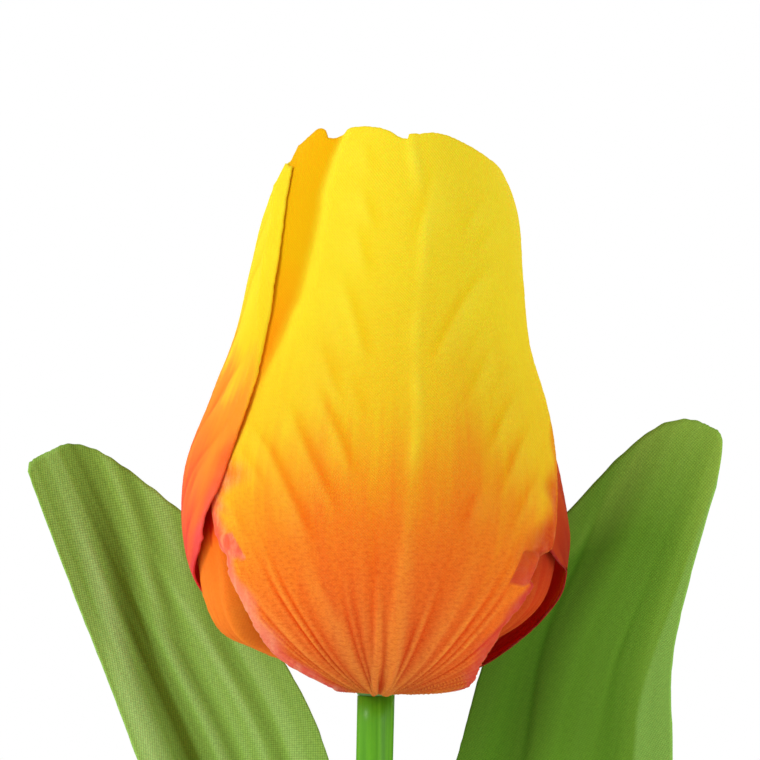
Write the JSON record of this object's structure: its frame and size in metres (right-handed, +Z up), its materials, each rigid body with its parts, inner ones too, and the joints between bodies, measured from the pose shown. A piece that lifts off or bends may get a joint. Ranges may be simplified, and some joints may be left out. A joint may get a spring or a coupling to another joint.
{
  "type": "tulip in vase",
  "caption": "Fabric tulip on a wire-cored stem with broad clasping leaves, standing in a slender glazed bud vase.",
  "frame": {"origin": "centre of the vase's flat foot, on the surface it stands on", "axes": "+Z up the vase and stem, -Y towards the side the flower shows best"},
  "size_m": [0.0865, 0.072, 0.3476],
  "materials": {
    "vase": "plain off-white gloss glaze, unglazed foot",
    "stem": "moulded green plastic",
    "wire": "drawn wire",
    "receptacle": "moulded green plastic",
    "stamens": "moulded pale green and dark anthers",
    "petals": "stiffened woven fabric, dyed orange at the foot to yellow at the tip",
    "leaves": "stiffened woven fabric, green"
  },
  "bodies": {
    "root": {"vase": "vase", "stem": "stem", "stem_wire": "wire", "receptacle": "receptacle", "stamen_cluster": "stamens", "petal_outer_front": "petals", "petal_outer_left": "petals", "petal_outer_right": "petals", "petal_inner_left": "petals", "petal_inner_right": "petals", "petal_inner_back": "petals", "leaf_left": "leaves", "leaf_right": "leaves"}
  },
  "joints": []
}
